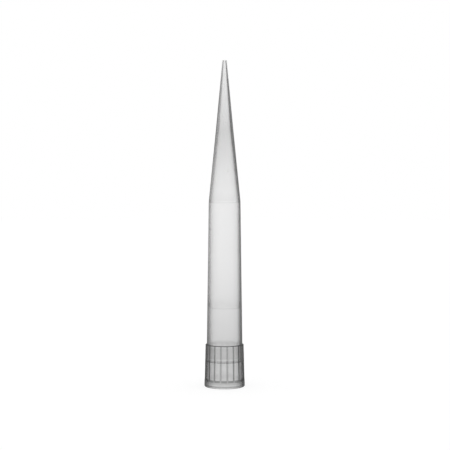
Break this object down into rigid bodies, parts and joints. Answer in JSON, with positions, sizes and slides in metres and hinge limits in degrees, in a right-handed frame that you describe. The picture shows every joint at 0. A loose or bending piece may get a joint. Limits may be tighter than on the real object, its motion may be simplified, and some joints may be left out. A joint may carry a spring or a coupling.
{
  "type": "pipette tip",
  "caption": "Slender disposable pipette tip: a tapered nozzle and cone, a long barrel with a moulded ring inside, and a ribbed collar with an open socket.",
  "frame": {"origin": "centre of the open rim that the tip stands on", "axes": "+Z along the axis, from the open rim to the orifice"},
  "size_m": [0.015, 0.015, 0.12],
  "materials": {
    "natural_polypropylene": "translucent natural polypropylene, injection moulded, satin"
  },
  "bodies": {
    "root": {"pipette_tip": "natural_polypropylene"}
  },
  "joints": []
}
